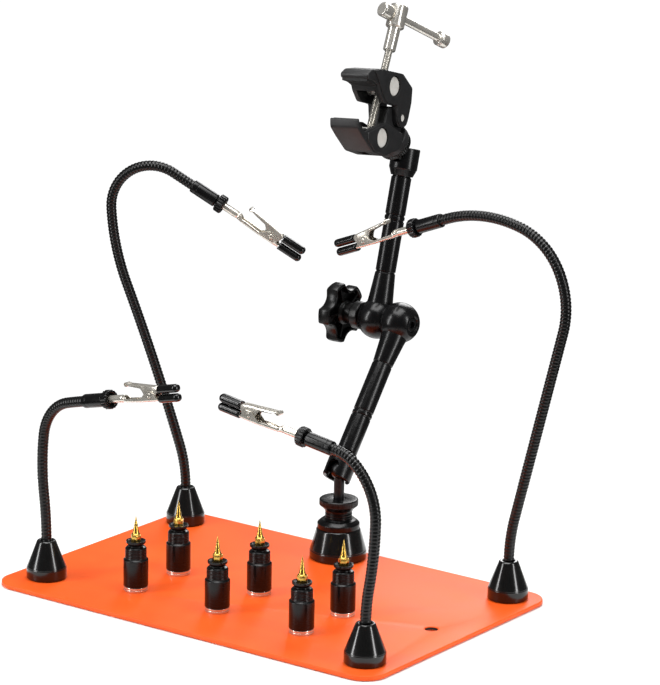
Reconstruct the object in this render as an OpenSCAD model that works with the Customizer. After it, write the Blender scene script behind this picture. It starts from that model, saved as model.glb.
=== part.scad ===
// Soldering helper station: a steel plate with four flexible clip arms, six board posts
// and one jointed stand that carries a small crab clamp.
// Origin: centre of the plate's underside. +X along the plate, +Z up.

/* [Plate] */
// Length of the plate along X
plate_l = 300; // [290:5:320]
// Width of the plate along Y
plate_w = 200; // [195:5:220]
// Thickness of the steel sheet
plate_t = 3; // [2:0.5:4]
// Radius of the plate's corners
plate_corner_r = 16; // [8:1:20]
// Radius of the hanging hole
hang_hole_r = 4.25; // [3:0.25:5]
// Distance of the hanging hole from the plate's centre
hang_hole_x = 125; // [115:1:130]

/* [Board posts] */
// Distance between the post columns along X
post_pitch_x = 66; // [60:1:75]
// Y of the front row of posts
post_front_y = -56; // [-60:1:-50]
// Y of the rear row of posts
post_rear_y = -12.5; // [-16:0.5:-8]
// Radius of the post's body
post_r = 8; // [7:0.5:9]

/* [Flexible arms] */
// Radius of an arm's magnetic foot
foot_r = 13; // [12:0.5:15]
// Height of an arm's foot
foot_h = 25.3; // [24:0.1:30]
// Radius of the flexible neck
neck_r = 3.5; // [3.2:0.1:3.6]
// Gap between the ball end and the cup end inside the neck's bend
bend_gap = 0.4; // [0.3:0.05:0.6]

/* [Stand] */
// X of the stand's foot
stand_x = -5.4; // [-10:0.1:0]
// Y of the stand's foot
stand_y = 80.4; // [75:0.1:85]
// Radius of the stand's foot
stand_r = 18.8; // [18:0.1:21]
// Length of each stand arm, from ball centre to elbow axis
arm_l = 109; // [108:1:112]
// Tilt of the lower arm from upright, away from the front
lower_tilt = 37; // [32:1:39]
// Tilt of the upper arm from upright
upper_tilt = 14.9; // [10:0.1:18]
// Distance between the planes of the two arms
elbow_pitch = 18; // [17.5:0.5:18.5]
// Radius of the elbow balls
elbow_r = 13.6; // [13.2:0.1:14]
// Radius of the arm tubes
tube_r = 6.8; // [6.4:0.1:7]
// Radius of the ball studs' balls
ball_r = 6; // [5.8:0.1:6.2]

/* [Clamp] */
// Half width of the clamp's jaws
jaw_half_w = 11.5; // [11:0.5:13]
// Turn of the clamp on its stud
clamp_turn = 5; // [0:1:10]
// Radius of the barrel nuts
nut_r = 6.5; // [6:0.1:6.5]
// Radius of the clamp's screw
screw_r = 2.6; // [2.4:0.1:2.6]
// Radius of the sliding handle bar
bar_r = 2.7; // [2.4:0.1:2.8]

/* [Hidden] */
$fn = 64;
fit = 0.05;                       // radial clearance of a running fit
press = 0.05;                     // glue line between two parts of one node
plate_top = plate_t;

POSTS = [for (iy = [0, 1], ix = [-1, 0, 1])
    [ix * post_pitch_x, iy == 0 ? post_front_y : post_rear_y]];

// Each arm: foot x, foot y, heading of its plane, number of arcs below the bend,
// and the neck as a chain of [length, turn] arcs. The last arc ends inside the collar.
ARMS = [
    [-127, -72.3, -7, 2, [[30, -8], [40, 16], [36, 66], [14, 2], [18, 0]]],
    [-131.6, 77.4, 22, 2, [[30, -17], [115, -4], [53, 18], [62, 123], [12, 0], [18, 0]]],
    [128.9, -76.3, 180, 2, [[22, -10], [41, 9], [40, 52], [14, 30], [18, 0]]],
    [129.1, 79.9, 180, 2, [[29, -14], [130, 0], [40, 42], [38, 46], [37, 24], [20, 13], [18, 0]]],
];

// Foot: magnet pocket and neck socket
magnet_h = 5;
magnet_r = foot_r - 2;
foot_band_h = 7.5;
foot_top_r = 5.7;
neck_root = 12;
neck_sides = 10;
neck_ring_gap = 4;
bend_ball_r = neck_r - 0.25;

// Collar at the end of a neck
collar_back = 14.5;
collar_r = 4.5;
barrel_r = 2.5;
nut_from = 5.2;
nut_to = 10.4;
spigot_to = 7.4;
spigot_r = 3.6;

// Clip, along X from the collar's face, Z up, pivot across Y
clip_half_w = 3.5;
sheet = 0.6;
pivot = [37.7, 1];
rivet_r = 1.2;
sleeve_from = 44.7;
sleeve_to = 62;
sleeve_r = 2.7;
sleeve_half_flat = 0.5;
low_sleeve_z = -1.75;
high_sleeve_z = 4.05;

// Stand heights
stand_band_z = plate_top + 6;
stand_cone_z = 23.5;
stand_cap_z = 29.5;
wheel_z = 35.2;
wheel_top_z = 43.6;
ball_z = 62.8;
stud_r = 3.5;
stud_root_z = 19;
lower_ball = [stand_x, stand_y, ball_z];
elbow = lower_ball + arm_l * [0, sin(lower_tilt), cos(lower_tilt)];
upper_elbow_at = elbow - [elbow_pitch, 0, 0];
upper_ball = upper_elbow_at + arm_l * [0, sin(upper_tilt), cos(upper_tilt)];

// Arm features, as distances from the ball centre
socket_r = 9.5;
socket_mouth = 6.5;
socket_top = 12.5;
flare_from = 78;
tube_end = 98;
flare_r = 8.8;
rod_bore_r = 3.3;
rod_r = 3;

// Elbow bolt and knob, along X
bolt_r = 3;
bolt_head_r = 5;
elbow_flat = 11.2;
knob_gap = 0.2;
knob_collar_r = 9.3;
knob_collar_l = 6.6;
knob_hub_r = 7;
knob_hub_l = 7.8;
knob_l = 9.5;
knob_r = 20.6;
lobes = 5;
scallop_r = 9.6;
scallop_depth = 5;

// Clamp, in the plane across its width, from the upper ball's centre as [y, z]
stud_dir = [0, -0.755, 0.656];
stud_lean = atan2(0.755, 0.656);
hinge_at = [-18.8, 29.75];
upper_nut_at = [-27, 51.95];
lower_nut_at = [-44.3, 20.35];
hinge_pin_r = 2.5;
hinge_end_r = 6.8;
cheek_in = 7.2;
block_half_w = 7;
upper_stud_r = 3;
screw_lean = atan2(upper_nut_at[0] - lower_nut_at[0], upper_nut_at[1] - lower_nut_at[1]);
screw_span = norm(upper_nut_at - lower_nut_at);
nut_half_l = 10.5;
screw_tail = 10;
sleeve_a = 24.5;
sleeve_b = 40.8;
screw_sleeve_r = 4.2;
bar_at = 48.75;
hub_top = 56.4;
hub_r = 6.2;
bar_angle = 16.5;
bar_short = 10.5;
bar_long = 42.5;
bar_knob_r = 5;
bar_knob_l = 8;

// ---------------------------------------------------------------- shared shapes

module tube_shape(points) { rotate_extrude() polygon(points); }

// An outline drawn as [y, z] and extruded along X between two planes
module across(x0, x1) { translate([x0, 0, 0]) rotate([90, 0, 90]) linear_extrude(x1 - x0) children(); }

module rod_x(r, x0, x1) { translate([x0, 0, 0]) rotate([0, 90, 0]) cylinder(r = r, h = x1 - x0); }

// The end of one arc that starts at p, leaning by t from upright, as [x, z]
function arc_end(p, t, l, turn) = abs(turn) < 0.001 ? p + l * [sin(t), cos(t)]
    : p + l * 180 / (PI * turn) * [cos(t) - cos(t + turn), sin(t + turn) - sin(t)];

// Rings [x, z, lean] along arcs i to n - 1
function neck_rings(arcs, n, i, p, t) = i >= n ? [[p[0], p[1], t]] : let(
    l = arcs[i][0], turn = arcs[i][1], m = max(1, round(l / neck_ring_gap)),
    here = [for (j = [0 : m - 1]) let(part = j / m, q = arc_end(p, t, l * part, turn * part))
        [q[0], q[1], t + turn * part]])
    concat(here, neck_rings(arcs, n, i + 1, arc_end(p, t, l, turn), t + turn));

// Sweeps the neck's section along rings
module neck_sweep(rings) {
    n = neck_sides;
    last = len(rings) - 1;
    points = [for (q = rings, k = [0 : n - 1])
        let(c = neck_r * cos(360 * k / n), s = neck_r * sin(360 * k / n))
        [q[0] + c * cos(q[2]), s, q[1] - c * sin(q[2])]];
    sides = [for (i = [0 : last - 1], k = [0 : n - 1]) let(a = i * n + k, b = i * n + (k + 1) % n)
        each [[a, a + n, b], [b, a + n, b + n]]];
    ends = [[for (k = [0 : n - 1]) k], [for (k = [n - 1 : -1 : 0]) last * n + k]];
    polyhedron(points, concat(ends, sides));
}

// Puts its children at the end of one arc
module past_arc(l, turn) {
    bend_r = turn == 0 ? 0 : l * 180 / (PI * turn);
    translate(turn == 0 ? [0, 0, l] : [bend_r * (1 - cos(turn)), 0, bend_r * sin(turn)])
        rotate([0, turn, 0]) children();
}

// Puts its children at the end of arcs i to n - 1
module past_arcs(arcs, n, i = 0) {
    if (i >= n) children();
    else past_arc(arcs[i][0], arcs[i][1]) past_arcs(arcs, n, i + 1) children();
}

module at_foot(a) { translate([a[0], a[1], plate_top]) rotate([0, 0, a[2]]) children(); }

module at_neck_end(a) {
    at_foot(a) translate([0, 0, foot_h]) past_arcs(a[4], len(a[4])) children();
}

module at_clip(a) { at_neck_end(a) translate([0, 0, nut_to]) rotate([0, -90, 0]) children(); }

// ---------------------------------------------------------------- plate and posts

module base_plate() {
    in_l = plate_l / 2 - plate_corner_r;
    in_w = plate_w / 2 - plate_corner_r;
    color("orangered") difference() {
        union() {
            translate([-plate_l / 2, -in_w, 0]) cube([plate_l, 2 * in_w, plate_t]);
            translate([-in_l, -plate_w / 2, 0]) cube([2 * in_l, plate_w, plate_t]);
            for (sx = [-1, 1], sy = [-1, 1])
                translate([sx * in_l, sy * in_w, 0]) cylinder(r = plate_corner_r, h = plate_t);
        }
        translate([hang_hole_x, 0, -1]) cylinder(r = hang_hole_r, h = plate_t + 2);
    }
}

post_magnet_h = 3;
post_body_top = 20.7;
post_step_r = 6.9;
post_step_top = 29;
post_waist_r = 4.5;
post_flange_r = 6.3;
post_top = 33.2;
post_h = 46.3;
tip_spigot_r = 2;
tip_spigot_l = 5;

module post(k) {
    translate([POSTS[k - 1][0], POSTS[k - 1][1], plate_top]) {
        color("silver") cylinder(r = post_r - 0.3, h = post_magnet_h);
        color("#141414") difference() {
            tube_shape([[0, post_magnet_h + press], [post_r - 0.3, post_magnet_h + press],
                [post_r, post_magnet_h + 0.5], [post_r, post_body_top], [post_step_r, post_body_top + 1],
                [post_step_r, post_step_top - 1], [post_step_r - 0.8, post_step_top],
                [post_waist_r, post_step_top + 0.3], [post_waist_r, post_step_top + 0.9],
                [post_flange_r, post_top - 1.4], [post_flange_r, post_top], [0, post_top]]);
            translate([0, 0, post_top - tip_spigot_l]) cylinder(r = tip_spigot_r, h = tip_spigot_l + 1);
        }
    }
}

module post_tip(k) {
    hex_h = 3.8;
    hex_r = 3.45;
    translate([POSTS[k - 1][0], POSTS[k - 1][1], plate_top]) color("goldenrod") union() {
        translate([0, 0, post_top - tip_spigot_l]) cylinder(r = tip_spigot_r, h = tip_spigot_l);
        translate([0, 0, post_top]) cylinder(r = hex_r, h = hex_h, $fn = 6);
        translate([0, 0, post_top + hex_h])
            cylinder(r1 = 2.9, r2 = 0.15, h = post_h + plate_top - post_top - hex_h);
    }
}

// ---------------------------------------------------------------- flexible arms

module foot(a) {
    at_foot(a) {
        color("silver") cylinder(r = magnet_r - press, h = magnet_h - press);
        color("#161616") difference() {
            tube_shape([[0, 0], [foot_r - 0.4, 0], [foot_r, 0.4], [foot_r, foot_band_h],
                [foot_top_r + 0.5, foot_h - 0.5], [foot_top_r, foot_h], [0, foot_h]]);
            translate([0, 0, -1]) cylinder(r = magnet_r, h = magnet_h + 1);
            translate([0, 0, foot_h - neck_root]) cylinder(r = neck_r, h = neck_root + 1);
        }
    }
}

// The neck's two halves meet in a ball end and a cup end, so that the neck bends there
module neck_lower(a) {
    color("#1c1c1c") at_foot(a) translate([0, 0, foot_h]) union() {
        neck_sweep(concat([[0, -neck_root, 0]], neck_rings(a[4], a[3], 0, [0, 0], 0)));
        past_arcs(a[4], a[3]) sphere(r = bend_ball_r);
    }
}

module neck_upper(a) {
    color("#1c1c1c") at_foot(a) translate([0, 0, foot_h]) past_arcs(a[4], a[3]) difference() {
        neck_sweep(neck_rings(a[4], len(a[4]), a[3], [0, 0], 0));
        sphere(r = bend_ball_r + bend_gap);
    }
}

module collar(a) {
    at_neck_end(a) color("#101010") {
        difference() {
            tube_shape([[0, -collar_back], [collar_r - 0.3, -collar_back], [collar_r, 0.3 - collar_back],
                [collar_r, 3.8], [collar_r - 0.4, 4.2], [spigot_r, 4.2], [spigot_r, spigot_to], [0, spigot_to]]);
            translate([0, 0, -collar_back - 1]) cylinder(r = neck_r, h = collar_back + 1);
            translate([0, 0, -0.5]) cylinder(r = barrel_r + fit, h = spigot_to + 1);
        }
        difference() {
            tube_shape([[0, nut_from], [5.7, nut_from], [6.2, nut_from + 0.5], [6.2, nut_to - 0.5],
                [5.7, nut_to], [0, nut_to]]);
            translate([0, 0, nut_from - 1]) cylinder(r = spigot_r + press, h = nut_to - nut_from + 2);
        }
    }
}

// A jaw sleeve: a rounded bar along X, hollow for the jaw
module sleeve_bar(z, r, x0, x1) {
    for (s = [-1, 1]) translate([0, s * sleeve_half_flat, z]) rod_x(r, x0, x1);
    translate([x0, -sleeve_half_flat, z - r]) cube([x1 - x0, 2 * sleeve_half_flat, 2 * r]);
}

module jaw_sleeve(z) {
    color("#0c0c0c") difference() {
        sleeve_bar(z, sleeve_r, sleeve_from, sleeve_to);
        translate([sleeve_from - 1, -1.9, z - 1.2]) cube([sleeve_to - sleeve_from - 1, 3.8, 2.4]);
    }
}

// Side outline of a clip half, given as [x, z], as thick as the clip is wide
module clip_slab(half_w) { translate([0, half_w, 0]) rotate([90, 0, 0]) linear_extrude(2 * half_w) children(); }

module clip_base(a) {
    cheek = [[11, -2.4], [30, -3.1], [sleeve_from - 0.2, -3.1], [41.6, 2.4], [39.5, 3.4], [35.4, 3.4],
        [30, -0.6], [11, 0.9]];
    at_clip(a) {
        color("gainsboro") union() {
            difference() {
                rod_x(barrel_r, 4.5 - nut_to, 12.5);
                rod_x(barrel_r - sheet, 3.5 - nut_to, 13);
            }
            difference() {
                clip_slab(clip_half_w) polygon(cheek);
                translate([12.5, -clip_half_w + sheet, -2.3]) cube([40, 2 * (clip_half_w - sheet), 9]);
                rod_x(barrel_r - sheet, 3.5 - nut_to, 13);
            }
            translate([43, -1.8, low_sleeve_z - 1.1]) cube([17, 3.6, 0.9]);
            translate([43, -2.9, -3.1]) cube([1.5, 5.8, 2.4]);
            translate([pivot[0], 0, pivot[1]]) rotate([90, 0, 0])
                cylinder(r = rivet_r, h = 2 * clip_half_w + 1, center = true);
            for (s = [-1, 1]) translate([pivot[0], s * (clip_half_w + 0.2), pivot[1]]) rotate([90, 0, 0])
                cylinder(r = rivet_r + 0.8, h = 0.6, center = true);
        }
        jaw_sleeve(low_sleeve_z);
    }
}

module clip_lever(a) {
    side = [[15.5, 8.1], [16.3, 9.6], [18, 9.8], [43.5, 6.4], [44.5, 5.2], [sleeve_from - 0.2, 2.6],
        [42.5, -0.4], [39.6, -1.4], [35.8, -1.4], [33, 0.6], [31.2, 5.4], [17, 7.2], [15.5, 7.4]];
    lever_half_w = clip_half_w - sheet - 0.1;
    at_clip(a) {
        color("gainsboro") difference() {
            union() {
                clip_slab(lever_half_w) polygon(side);
                translate([43.5, -1.8, high_sleeve_z - 0.2]) cube([16.5, 3.6, 1.2]);
            }
            clip_slab(lever_half_w - sheet) polygon([[18, 6], [20, 8.8], [43.3, 5.6], [43.3, 3.2], [42.3, -3],
                [30, -3], [30, 6]]);
            translate([pivot[0], 0, pivot[1]]) rotate([90, 0, 0])
                cylinder(r = rivet_r + fit, h = 20, center = true);
        }
        jaw_sleeve(high_sleeve_z);
    }
}

// ---------------------------------------------------------------- stand

module at_stand() { translate([stand_x, stand_y, 0]) children(); }
module at_lower_arm() { translate(lower_ball) rotate([-lower_tilt, 0, 0]) children(); }
// The upper arm is drawn from its ball, with its own +Z pointing down the tube
module at_upper_arm() { translate(upper_ball) rotate([180 - upper_tilt, 0, 0]) children(); }

module stand_foot() {
    color("#161616") at_stand() difference() {
        tube_shape([[0, plate_top], [stand_r - 0.4, plate_top], [stand_r, plate_top + 0.4],
            [stand_r, stand_band_z], [14.3, stand_cone_z], [0, stand_cone_z]]);
        translate([0, 0, plate_top - 1]) cylinder(r = stand_r - 2.6, h = 8);
        translate([0, 0, stud_root_z]) cylinder(r = stud_r, h = 10);
    }
}

module stand_magnet() {
    color("silver") at_stand() translate([0, 0, plate_top]) cylinder(r = stand_r - 2.6 - press, h = 7 - press);
}

module stand_cap() {
    neck = 9;
    color("#141414") at_stand() difference() {
        tube_shape([[0, stand_cone_z], [13.8, stand_cone_z], [14, stand_cone_z + 0.3], [14, stand_cap_z - 2.4],
            [11.2, stand_cap_z], [neck, stand_cap_z], [neck, stand_cap_z + 1.6], [neck - 0.8, stand_cap_z + 2],
            [neck - 0.8, stand_cap_z + 2.8], [neck, stand_cap_z + 3.2], [neck, wheel_z], [0, wheel_z]]);
        translate([0, 0, stand_cone_z - 1]) cylinder(r = stud_r, h = 20);
    }
}

module lower_lock_wheel() {
    color("#141414") at_stand() difference() {
        tube_shape([[0, wheel_z], [9.3, wheel_z], [9.3, wheel_z + 0.8], [12.4, wheel_z + 3.8],
            [12.85, wheel_z + 4.2], [12.85, wheel_top_z - 0.6], [12.2, wheel_top_z], [0, wheel_top_z]]);
        translate([0, 0, wheel_z - 1]) cylinder(r = stud_r + fit, h = 20);
    }
}

// A ball with its shank, the shank pointing along -Z
module ball_stud(shank_r, shank_l) {
    sphere(r = ball_r);
    translate([0, 0, -shank_l]) cylinder(r = shank_r, h = shank_l);
}

module lower_ball_stud() {
    color("#101010") translate(lower_ball) ball_stud(stud_r, ball_z - stud_root_z);
}

// A ball socket whose mouth faces -Z; the slots let the shank fold down to one side
module socket() {
    slot = stud_r + 0.5;
    difference() {
        tube_shape([[0, -socket_mouth], [socket_r - 0.5, -socket_mouth], [socket_r, 0.5 - socket_mouth],
            [socket_r, 7.5], [7.4, socket_top], [0, socket_top]]);
        sphere(r = ball_r + fit);
        translate([0, 0, -socket_mouth - 0.1]) cylinder(r1 = 7.2, r2 = 5.4, h = 4.1);
        translate([0, 0, -1]) cylinder(r = rod_bore_r, h = 20);
        translate([-slot, -12, -10]) cube([2 * slot, 24, 10]);
        rotate([90, 0, 0]) cylinder(r = slot, h = 24, center = true);
    }
}

// Tube of an arm with its turned grooves and its flare, and the push rod inside
module arm_tube() {
    g = 0.5;
    difference() {
        tube_shape([[0, socket_top], [tube_r, socket_top], [tube_r, 38.5], [tube_r - g, 38.7],
            [tube_r - g, 39.3], [tube_r, 39.5], [tube_r, 42], [tube_r - g, 42.2], [tube_r - g, 42.8],
            [tube_r, 43], [tube_r, 77], [tube_r - g, 77.2], [tube_r - g, 77.8], [tube_r, flare_from],
            [flare_r, tube_end], [0, tube_end]]);
        translate([0, 0, socket_top - 1]) cylinder(r = rod_bore_r, h = 100);
    }
    translate([0, 0, ball_r + 0.5]) cylinder(r = rod_r, h = tube_end - ball_r - 1);
}

module lower_socket() { color("#121212") at_lower_arm() socket(); }
module lower_tube() { color("#161616") at_lower_arm() arm_tube(); }
module upper_socket() { color("#121212") at_upper_arm() socket(); }
module upper_tube() { color("#161616") at_upper_arm() arm_tube(); }

// Half of the elbow: a ball cut flat on both sides, with the neck that meets the tube
module elbow_half(x0, x1) {
    intersection() {
        union() {
            sphere(r = elbow_r);
            translate([0, 0, tube_end - arm_l]) cylinder(r = flare_r, h = arm_l - tube_end);
        }
        translate([x0, -20, tube_end - arm_l]) cube([x1 - x0, 40, 40]);
    }
}

module lower_elbow() {
    color("#131313") difference() {
        translate(elbow) rotate([-lower_tilt, 0, 0])
            elbow_half(0.05 - elbow_pitch / 2, elbow_flat);
        translate(elbow) rod_x(bolt_r, -30, 30);
        translate(elbow) rod_x(bolt_head_r, elbow_flat - 4, 30);
    }
}

module upper_elbow() {
    color("#131313") difference() {
        translate(upper_elbow_at) rotate([180 - upper_tilt, 0, 0])
            elbow_half(-elbow_flat, elbow_pitch / 2 - 0.05);
        translate(upper_elbow_at) rod_x(bolt_r + fit, -30, 30);
    }
}

module elbow_bolt() {
    color("#202020") translate(elbow) difference() {
        union() {
            rod_x(bolt_head_r, elbow_flat - 4, elbow_flat - 0.6);
            rod_x(bolt_r, -elbow_pitch - elbow_flat - knob_l, elbow_flat - 4);
        }
        translate([elbow_flat - 3, 0, 0]) rotate([0, 90, 0]) cylinder(r = 2.9, h = 10, $fn = 6);
    }
}

module elbow_knob() {
    x_collar = -elbow_pitch - elbow_flat - knob_gap;
    x_hub = x_collar - knob_collar_l;
    x_body = x_hub - knob_hub_l;
    color("#121212") translate(elbow) difference() {
        union() {
            rod_x(knob_collar_r, x_hub, x_collar);
            rod_x(knob_hub_r, x_body - 1, x_hub + 1);
            rod_x(knob_r, x_body - knob_l, x_body);
        }
        for (i = [1 : lobes]) rotate([i * 360 / lobes - 18, 0, 0])
            translate([0, 0, knob_r + scallop_r - scallop_depth]) rod_x(scallop_r, x_body - knob_l - 1, x_body + 1);
        rod_x(bolt_r + fit, -elbow_pitch - elbow_flat - knob_l - 1, 0);
    }
}

// ---------------------------------------------------------------- clamp

// Places the clamp's own frame: its origin is the upper ball, X is across the jaws
module in_clamp() { translate(upper_ball) rotate(a = clamp_turn, v = stud_dir) children(); }
// Along the stud, +Z away from the ball
module on_stud() { rotate([stud_lean, 0, 0]) children(); }
// Along the screw, from the upper nut, +Z towards the handle
module on_screw() { translate([0, upper_nut_at[0], upper_nut_at[1]]) rotate([-screw_lean, 0, 0]) children(); }
module at_yz(p) { translate([0, p[0], p[1]]) children(); }

module upper_ball_stud() {
    color("#101010") in_clamp() on_stud() mirror([0, 0, 1]) ball_stud(upper_stud_r, 31);
}

module upper_lock_wheel() {
    color("#141414") in_clamp() on_stud() difference() {
        tube_shape([[0, 13.5], [8, 13.5], [11, 14.6], [11.5, 15], [11.5, 18], [11, 18.5], [0, 18.5]]);
        translate([0, 0, 10]) cylinder(r = upper_stud_r + fit, h = 12);
    }
}

module clamp_lower_jaw() {
    outline = [[-73, 36.8], [-73.3, 31], [-67.3, 24], [-56.8, 13], [-41.7, 7.7], [-20.8, 9.5],
        [-18.8, 19], [-40.9, 29.9], [-64.9, 27.5], [-69.5, 31.8], [-71, 36.8]];
    pocket = [[-60, 42], [-57.5, 24], [-52, 13.2], [-37, 13.2], [-34.6, 16], [-34.6, 42]];
    block = [[-36, 10], [-34.8, 26], [-31, 33.5], [-28.5, 38], [-15, 36.5], [-11.5, 30], [-13, 20], [-18, 11]];
    color("#1a1a1a") in_clamp() difference() {
        union() {
            difference() {
                across(-jaw_half_w, jaw_half_w) polygon(outline);
                across(-cheek_in, cheek_in) polygon(pocket);
            }
            across(-block_half_w, block_half_w) polygon(block);
            on_stud() translate([0, 0, 19]) cylinder(r = 12, h = 6);
        }
        at_yz(lower_nut_at) rod_x(nut_r + fit, -20, 20);
        at_yz(hinge_at) rod_x(hinge_pin_r, -20, 20);
        on_stud() translate([0, 0, 15]) cylinder(r = upper_stud_r + fit, h = 16.5);
        on_screw() translate([-3.4, -5, -screw_span - 25]) cube([6.8, 10, 25]);
    }
}

module clamp_upper_jaw() {
    outline = [[-58.7, 64.4], [-53.3, 66.6], [-42.1, 65.6], [-16.2, 59], [-5.3, 48], [-7.4, 38.3],
        [-12.2, 28], [-18.8, 29.75], [-25.4, 31], [-25.4, 38.6], [-32.4, 40.8], [-40.7, 43.1], [-45.8, 51.4],
        [-46.9, 56.1], [-52.3, 59.5], [-58.5, 61.2]];
    pocket = [[-45.6, 20], [-45.6, 52], [-43.5, 57.5], [-36, 59.6], [-20, 58.6], [-11.5, 49], [-12.5, 38.5],
        [0, 36], [0, 20]];
    color("#1a1a1a") in_clamp() difference() {
        union() {
            across(-jaw_half_w, jaw_half_w) polygon(outline);
            at_yz(hinge_at) rod_x(hinge_end_r, -jaw_half_w, jaw_half_w);
        }
        across(-cheek_in, cheek_in) polygon(pocket);
        at_yz(upper_nut_at) rod_x(nut_r + fit, -20, 20);
        at_yz(hinge_at) rod_x(hinge_pin_r + fit, -20, 20);
        on_screw() translate([-3.4, -4.8, 0]) cube([6.8, 9.6, 30]);
    }
}

module clamp_hinge_pin() {
    color("silver") in_clamp() at_yz(hinge_at) rod_x(hinge_pin_r, -jaw_half_w + 0.6, jaw_half_w - 0.6);
}

module barrel_nut(at, bore_r) {
    color("lightgray") in_clamp() difference() {
        at_yz(at) rod_x(nut_r, -nut_half_l, nut_half_l);
        on_screw() translate([0, 0, -60]) cylinder(r = bore_r, h = 90);
    }
}

module lower_barrel_nut() { barrel_nut(lower_nut_at, screw_r + 0.3); }
module upper_barrel_nut() { barrel_nut(upper_nut_at, screw_r + fit); }

module clamp_screw() {
    color("silver") in_clamp() on_screw() difference() {
        union() {
            translate([0, 0, -screw_span - screw_tail]) cylinder(r = screw_r, h = screw_span + screw_tail + 30);
            tube_shape([[0, sleeve_a], [screw_sleeve_r - 0.5, sleeve_a], [screw_sleeve_r, sleeve_a + 0.5],
                [screw_sleeve_r, sleeve_b], [0, sleeve_b]]);
            tube_shape([[0, sleeve_b], [5.8, sleeve_b], [hub_r, sleeve_b + 0.5], [hub_r, hub_top - 0.8],
                [5.4, hub_top], [0, hub_top]]);
        }
        translate([0, 0, bar_at]) rotate([0, 0, -bar_angle]) rotate([90, 0, 0])
            cylinder(r = bar_r + fit, h = 40, center = true);
    }
}

module handle_bar() {
    color("silver") in_clamp() on_screw() translate([0, 0, bar_at]) rotate([0, 0, -bar_angle])
        rotate([-90, 0, 0]) {
            translate([0, 0, -bar_short]) cylinder(r = bar_r, h = bar_short + bar_long);
            for (z = [-bar_short, bar_long]) translate([0, 0, z - bar_knob_l / 2])
                tube_shape([[0, 0], [bar_knob_r - 0.8, 0], [bar_knob_r, 0.8], [bar_knob_r, bar_knob_l - 0.8],
                    [bar_knob_r - 0.8, bar_knob_l], [0, bar_knob_l]]);
        }
}

// ---------------------------------------------------------------- nodes

base_plate();
for (k = [1 : 6]) post(k);
for (k = [1 : 6]) post_tip(k);
for (k = [1 : 4]) foot(ARMS[k - 1]);
for (k = [1 : 4]) neck_lower(ARMS[k - 1]);
for (k = [1 : 4]) neck_upper(ARMS[k - 1]);
for (k = [1 : 4]) collar(ARMS[k - 1]);
for (k = [1 : 4]) clip_base(ARMS[k - 1]);
for (k = [1 : 4]) clip_lever(ARMS[k - 1]);
stand_foot();
stand_magnet();
stand_cap();
lower_lock_wheel();
lower_ball_stud();
lower_socket();
lower_tube();
lower_elbow();
elbow_bolt();
elbow_knob();
upper_elbow();
upper_tube();
upper_socket();
upper_ball_stud();
upper_lock_wheel();
clamp_lower_jaw();
clamp_upper_jaw();
clamp_hinge_pin();
lower_barrel_nut();
upper_barrel_nut();
clamp_screw();
handle_bar();
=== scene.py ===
import math

import bmesh
import bpy
from mathutils import Matrix, Vector


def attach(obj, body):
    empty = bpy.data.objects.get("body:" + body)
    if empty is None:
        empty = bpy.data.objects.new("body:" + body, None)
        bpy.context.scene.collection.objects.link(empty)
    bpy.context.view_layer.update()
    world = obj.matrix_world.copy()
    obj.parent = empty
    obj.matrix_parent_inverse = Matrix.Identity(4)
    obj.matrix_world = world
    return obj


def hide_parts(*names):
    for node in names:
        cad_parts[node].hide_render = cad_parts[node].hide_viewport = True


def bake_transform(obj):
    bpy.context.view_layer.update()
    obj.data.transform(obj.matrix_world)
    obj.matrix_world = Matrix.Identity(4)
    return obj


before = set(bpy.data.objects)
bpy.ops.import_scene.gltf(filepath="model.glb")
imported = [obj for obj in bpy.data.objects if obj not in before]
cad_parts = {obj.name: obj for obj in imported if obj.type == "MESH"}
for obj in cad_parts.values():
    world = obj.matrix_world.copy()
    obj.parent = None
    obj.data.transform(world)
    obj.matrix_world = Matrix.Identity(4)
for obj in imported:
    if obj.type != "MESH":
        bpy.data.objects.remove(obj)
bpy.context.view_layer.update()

MM = 0.001
PLATE_TOP = 3.0
HOLE_X, HOLE_R = 125, 4.25

# ------------------------------------------------------------------ setting out

FOOT_H = 25.3
COLLAR_FACE = 10.4
NECK_R = 3.5
# foot x, foot y, heading, arcs below the bend, [length, turn] arcs of the neck
ARMS = [
    (-127, -72.3, -7, 2, [(30, -8), (40, 16), (36, 66), (14, 2), (18, 0)]),
    (-131.6, 77.4, 22, 2, [(30, -17), (115, -4), (53, 18), (62, 123), (12, 0), (18, 0)]),
    (128.9, -76.3, 180, 2, [(22, -10), (41, 9), (40, 52), (14, 30), (18, 0)]),
    (129.1, 79.9, 180, 2, [(29, -14), (130, 0), (40, 42), (38, 46), (37, 24), (20, 13), (18, 0)]),
]
POSTS = [(x, y) for y in (-56, -12.5) for x in (-66, 0, 66)]


def metres(point):
    return Vector(point) * MM


def shift(x, y, z):
    return Matrix.Translation(metres((x, y, z)))


def lean(degrees, axis):
    return Matrix.Rotation(math.radians(degrees), 4, axis)


STAND = shift(-5.4, 80.4, 0)
LOWER_BALL = Vector((-5.4, 80.4, 62.8))
ELBOW = LOWER_BALL + 109 * Vector((0, math.sin(math.radians(37)), math.cos(math.radians(37))))
UPPER_ELBOW = ELBOW - Vector((18, 0, 0))
UPPER_BALL = UPPER_ELBOW + 109 * Vector((0, math.sin(math.radians(14.9)), math.cos(math.radians(14.9))))
LOWER_ARM = shift(*LOWER_BALL) @ lean(-37, "X")
UPPER_ARM = shift(*UPPER_BALL) @ lean(180 - 14.9, "X")
CLAMP = shift(*UPPER_BALL) @ lean(5, Vector((0, -0.755, 0.656)))
STUD = CLAMP @ lean(math.degrees(math.atan2(0.755, 0.656)), "X")
HINGE = (-18.8, 29.75)
UPPER_NUT = (-27.0, 51.95)
LOWER_NUT = (-44.3, 20.35)
SCREW_LEAN = math.degrees(math.atan2(UPPER_NUT[0] - LOWER_NUT[0], UPPER_NUT[1] - LOWER_NUT[1]))
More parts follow.
